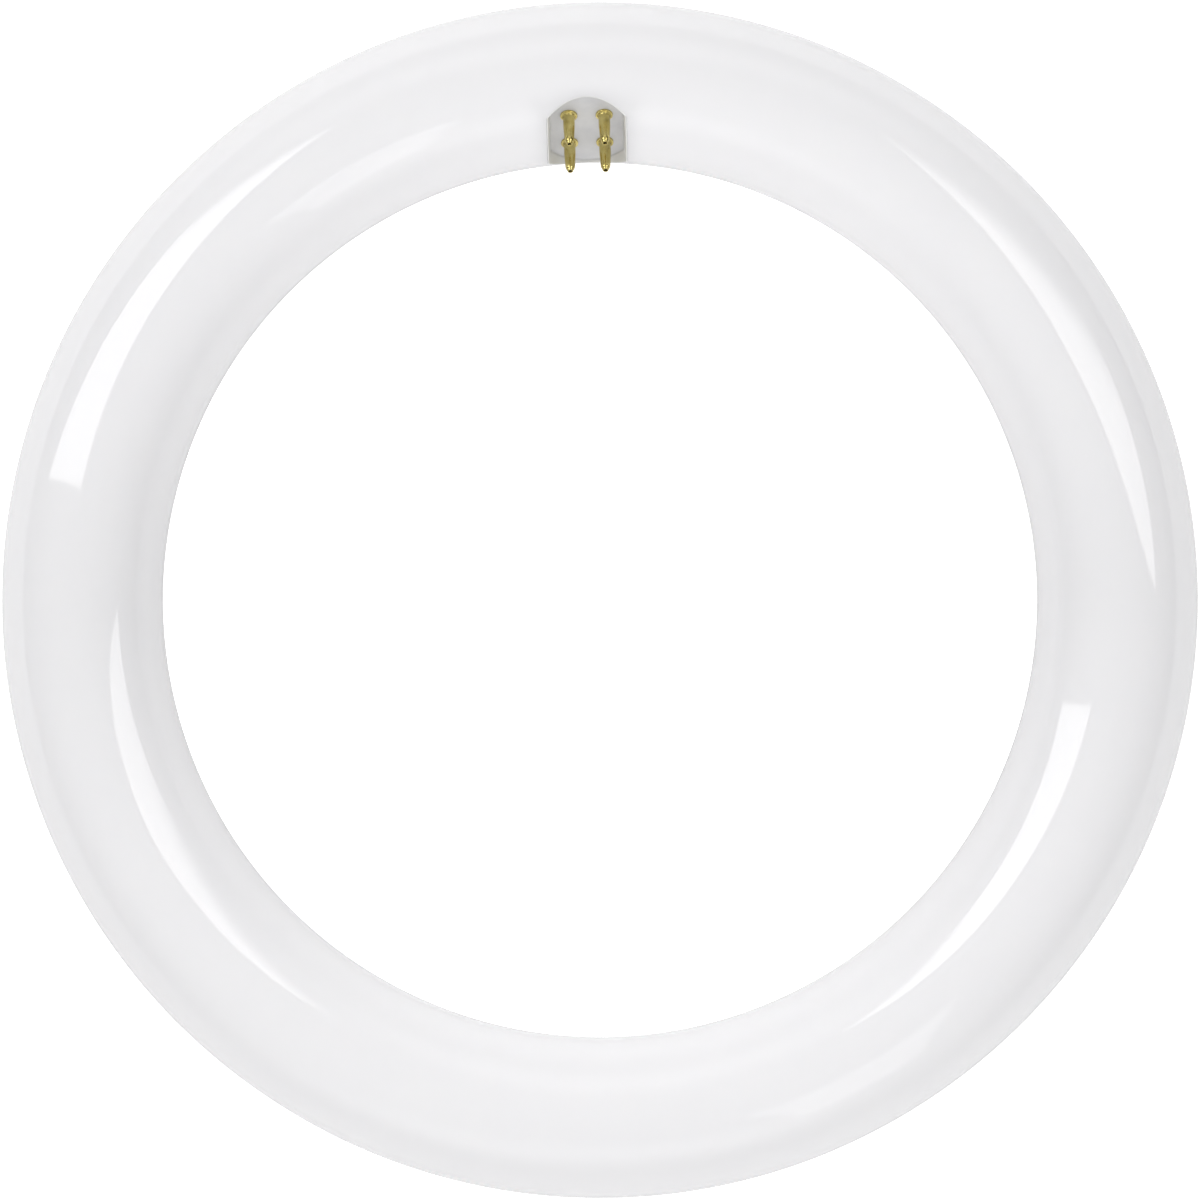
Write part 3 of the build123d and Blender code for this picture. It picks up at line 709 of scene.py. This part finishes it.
def inner_finish(name, first, second, roughness, metal, broad_mm, fine_mm):
    """Two colours in broad patches, with a fine relief."""
    material, tree, output, place = finish_named(name)
    patches = add(tree, "ShaderNodeTexNoise", Vector=place, Scale=pattern_scale(broad_mm),
                  Detail=3.0).outputs["Fac"]
    relief = add(tree, "ShaderNodeTexNoise", Vector=place, Scale=pattern_scale(fine_mm),
                 Detail=2.0).outputs["Fac"]
    bump = add(tree, "ShaderNodeBump", Height=relief, Strength=0.2, Distance=0.02 * MM)
    shader = add(
        tree, "ShaderNodeBsdfPrincipled", Base_Color=two_colours(tree, patches, first, second),
        Metallic=metal, Roughness=between(tree, patches, roughness - 0.04, roughness + 0.04),
        Normal=bump.outputs["Normal"],
    )
    tree.links.new(shader.outputs["BSDF"], output.inputs["Surface"])
    return material


finishes = {name: inner_finish(name, *values) for name, values in INNER_FINISHES.items()}
for subpart in frame["record"]["subparts"]:
    inner = frame["nodes"][subpart["node"]]
    if subpart["material_slot"] in finishes:
        inner.data.materials.clear()
        inner.data.materials.append(finishes[subpart["material_slot"]])
print(len(finishes), "inner finishes")


# %% [markdown]
# ## The studio
#
# The lamp lies on a white table in a white room, as in a product photograph taken from above. The
# table shows white to the camera, and still keeps the lamp's soft shadow. The room has a brighter
# panel at each end, which lights the slopes of the tube that face it. For gloss and brass it is
# darker low down, so that they have something to show.

# %% Table
TABLE_HALF = 6.0
TABLE_GAP = 0.02 * MM
TABLE_GLOW = 0.6
TABLE_GLOW_MIRRORED = 0.05


def calculate(tree, operation, first, second=0.0):
    """Output of one sum with one or two values."""
    return add(tree, "ShaderNodeMath", {"operation": operation}, _0=first, _1=second).outputs[0]


def white_table():
    """Floor that a camera or a mirror sees as nearly white, and that takes the lamp's shadow."""
    material, tree, output, place = finish_named("white_table")
    texture = add(tree, "ShaderNodeTexNoise", Vector=place, Scale=pattern_scale(60.0)).outputs[0]
    surface = add(tree, "ShaderNodeBsdfDiffuse",
                  Color=two_colours(tree, texture, "#F4F4F4", "#F6F6F6"))
    seen = add(tree, "ShaderNodeLightPath").outputs
    mirrored = calculate(tree, "MAXIMUM", seen["Is Glossy Ray"], seen["Is Transmission Ray"])
    soft = calculate(tree, "MULTIPLY", mirrored, TABLE_GLOW_MIRRORED)
    strength = add(tree, "ShaderNodeMix", {"data_type": "FLOAT"}, _0=seen["Is Camera Ray"],
                   _2=soft, _3=TABLE_GLOW).outputs[0]
    glow = add(tree, "ShaderNodeEmission", Color=(1.0, 1.0, 1.0, 1.0), Strength=strength)
    lit = add(tree, "ShaderNodeAddShader", _0=surface.outputs[0], _1=glow.outputs[0])
    tree.links.new(lit.outputs[0], output.inputs["Surface"])
    return material


corners = np.array([(-1, -1, 0), (1, -1, 0), (1, 1, 0), (-1, 1, 0)]) * TABLE_HALF
corners[:, 2] = -TUBE_RADIUS - TABLE_GAP
table = new_piece("table", corners, np.array([[0, 1, 2, 3]]))
table.data.materials.append(white_table())


# %% Room
# The level is a share of the white that the camera sees. The panels, the front and the right are
# shares of that level. An edge is where a change begins and ends, as a part of the direction.
ROOM_LEVEL = 0.495
ROOM_ENDS = 1.9
ROOM_END_EDGE = (0.55, 0.8)
ROOM_FRONT = 0.42
ROOM_RIGHT = 0.3
ROOM_FLOOR_SHADE = 0.35
ROOM_SHADE_EDGE = (0.3, 0.75)


def white_room():
    """World: white for the camera. For the light on the object it is an even grey-white with a
    brighter panel at each end of the room, along Y. There is a little more light from the front
    and a little less from the right. Gloss and metal see the same room, grown darker low down."""
    world = bpy.data.worlds.new("white_room")
    bpy.context.scene.world = world
    world.use_nodes = True
    tree = world.node_tree
    tree.nodes.clear()
    output = tree.nodes.new("ShaderNodeOutputWorld")
    direction = tree.nodes.new("ShaderNodeTexCoord").outputs["Generated"]
    part = add(tree, "ShaderNodeSeparateXYZ", Vector=direction).outputs
    seen = add(tree, "ShaderNodeLightPath").outputs

    end, end_full = ROOM_END_EDGE
    panels = add(tree, "ShaderNodeMapRange", Value=calculate(tree, "ABSOLUTE", part["Y"]),
                 From_Min=end, From_Max=end_full, To_Min=1.0, To_Max=1.0 + ROOM_ENDS).outputs[0]
    backward = calculate(tree, "MULTIPLY", part["Y"], ROOM_FRONT)
    rightward = calculate(tree, "MAXIMUM", part["X"], 0.0)
    rightward = calculate(tree, "MULTIPLY", rightward, ROOM_RIGHT)
    field = calculate(tree, "SUBTRACT", calculate(tree, "SUBTRACT", panels, backward), rightward)
    level = calculate(tree, "MULTIPLY", field, ROOM_LEVEL)

    low, high = ROOM_SHADE_EDGE
    shade = add(tree, "ShaderNodeMapRange", Value=part["Z"], From_Min=low, From_Max=high,
                To_Min=ROOM_FLOOR_SHADE, To_Max=1.0).outputs[0]
    mirrored = calculate(tree, "MULTIPLY", level, shade)
    for_light = add(tree, "ShaderNodeMix", {"data_type": "FLOAT"}, _0=seen["Is Glossy Ray"],
                    _2=level, _3=mirrored).outputs[0]
    strength = add(tree, "ShaderNodeMix", {"data_type": "FLOAT"}, _0=seen["Is Camera Ray"],
                   _2=for_light, _3=1.0).outputs[0]
    room = add(tree, "ShaderNodeBackground", Color=(1.0, 1.0, 1.0, 1.0), Strength=strength)
    tree.links.new(room.outputs[0], output.inputs["Surface"])


white_room()


# %% [markdown]
# ### Softboxes
#
# Two large softboxes make the long streaks on the glossy tube. One hangs at the upper left and is
# turned well away, so the ring sees it slantwise and its streak narrows to a point. The other hangs
# at the right. A dim third one, in front, makes the short inner streak. A softbox is placed by its
# compass angle from +X and its angle down from straight above, all at one distance. It then looks
# at the ring, and is rolled about that line, nodded and turned about its own axes. The two large
# ones fade towards one side, as real ones do away from their lamp, so their streaks fade too.

# %% Softboxes
SOFTBOX_DISTANCE = 1.6


def fade_across(lamp, first, second):
    """Strength of a lamp over its width. Each end of the fade is a place, from 0 to 1, and the
    strength there."""
    lamp.use_nodes = True
    tree = lamp.node_tree
    across = tree.nodes.new("ShaderNodeNewGeometry").outputs["Parametric"]
    place = add(tree, "ShaderNodeSeparateXYZ", Vector=across).outputs["X"]
    strength = add(tree, "ShaderNodeMapRange", {"interpolation_type": "SMOOTHSTEP"}, Value=place,
                   From_Min=first[0], From_Max=second[0], To_Min=first[1],
                   To_Max=second[1]).outputs[0]
    tree.links.new(strength, tree.nodes["Emission"].inputs["Strength"])


def softbox(name, compass, from_zenith, wide, high, roll, nod, turn, radiance, fade):
    """Area light near the ring, at this compass angle and this angle from straight above. Its power
    follows from its radiance and its size. The fade's two ends are as in fade_across."""
    lamp = bpy.data.lights.new(name, "AREA")
    lamp.shape = "RECTANGLE"
    lamp.size, lamp.size_y = wide, high
    lamp.energy = radiance * np.pi * wide * high
    box = bpy.data.objects.new(name, lamp)
    bearing, slant = np.radians((compass, from_zenith))
    toward = Vector((
        np.cos(bearing) * np.sin(slant), np.sin(bearing) * np.sin(slant), np.cos(slant)
    ))
    box.location = toward * SOFTBOX_DISTANCE
    box.rotation_mode = "QUATERNION"
    box.rotation_quaternion = (
        toward.to_track_quat("Z", "Y")
        @ Quaternion((0, 0, 1), np.radians(roll))
        @ Quaternion((1, 0, 0), np.radians(nod))
        @ Quaternion((0, 1, 0), np.radians(turn))
    )
    box.visible_camera = False
    bpy.context.scene.collection.objects.link(box)
    fade_across(lamp, *fade)
    print(f"{name}: {lamp.energy:.2f} W")


softbox("softbox_left", compass=137.6, from_zenith=43.5, wide=1.6, high=0.86, roll=25, nod=-11,
        turn=68.5, radiance=2.9, fade=((0.0, 0.1), (0.45, 1.0)))
softbox("softbox_right", compass=28.5, from_zenith=40.5, wide=0.87, high=1.03, roll=-33.5, nod=0,
        turn=-33.5, radiance=2.5, fade=((0.35, 1.0), (1.0, 0.15)))
softbox("softbox_front", compass=296, from_zenith=38, wide=0.44, high=0.80, roll=1, nod=0,
        turn=42.5, radiance=1.0, fade=((0.0, 1.0), (1.0, 1.0)))


# %% [markdown]
# ### Fill lamps
#
# In the photograph the inner slopes of the tube are the brightest of all at the top and at the
# bottom. Far lamps can't do that, because they light the outer slopes as much. So two small fill
# lamps stand close above the ring's middle, back to back, and each shines level along Y. They
# only add soft light: neither the camera nor a reflection sees them.

# %% Fill lamps
FILL_HEIGHT = 0.15
FILL_WIDTH = 0.12


def fill_lamp(name, toward, power):
    """Small area light over the ring's middle that shines level, towards +Y or -Y."""
    lamp = bpy.data.lights.new(name, "AREA")
    lamp.size = FILL_WIDTH
    lamp.energy = power
    holder = bpy.data.objects.new(name, lamp)
    holder.location = (0, 0, FILL_HEIGHT)
    holder.rotation_euler = (toward * np.pi / 2, 0, 0)
    holder.visible_camera = False
    holder.visible_glossy = False
    bpy.context.scene.collection.objects.link(holder)
    print(f"{name}: {lamp.energy:.3f} W")


fill_lamp("fill_to_base", toward=1, power=0.018)
fill_lamp("fill_from_base", toward=-1, power=0.068)


# %% [markdown]
# ## The camera
#
# The photograph looks straight down at the lamp, which fills the square frame, and its base sits a
# little to the left of the top. So the camera hangs over the ring's centre, and is turned a little
# about its own axis. Its lens follows from the wish that the ring's outline just fills the frame.

# %% Camera
# The height is in metres, the roll in degrees and the sensor in millimetres. The last two are
# half of the photograph's frame and the ring's outer radius in it, in its own pixels.
CAMERA_HEIGHT = 1.2
CAMERA_ROLL = -1.6
SENSOR = 36.0
FRAME_HALF = 600.0
RING_HALF = 598.0


def overhead_camera():
    """Camera above the ring. The tube's outline is seen at the angle whose tangent is its radius
    over the height, corrected for the tube's roundness."""
    camera = bpy.data.cameras.new("overhead_camera")
    camera.sensor_width = SENSOR
    outline = np.arctan2(RING_RADIUS, CAMERA_HEIGHT) + np.arcsin(
        TUBE_RADIUS / np.hypot(RING_RADIUS, CAMERA_HEIGHT))
    camera.lens = SENSOR / 2 / np.tan(outline) * RING_HALF / FRAME_HALF
    holder = bpy.data.objects.new("overhead_camera", camera)
    holder.location = (0, 0, CAMERA_HEIGHT)
    holder.rotation_euler = (0, 0, np.radians(CAMERA_ROLL))
    bpy.context.scene.collection.objects.link(holder)
    bpy.context.scene.camera = holder
    print(f"Lens {camera.lens:.1f} mm at {CAMERA_HEIGHT} m")


overhead_camera()
bpy.context.scene.view_settings.view_transform = "Standard"
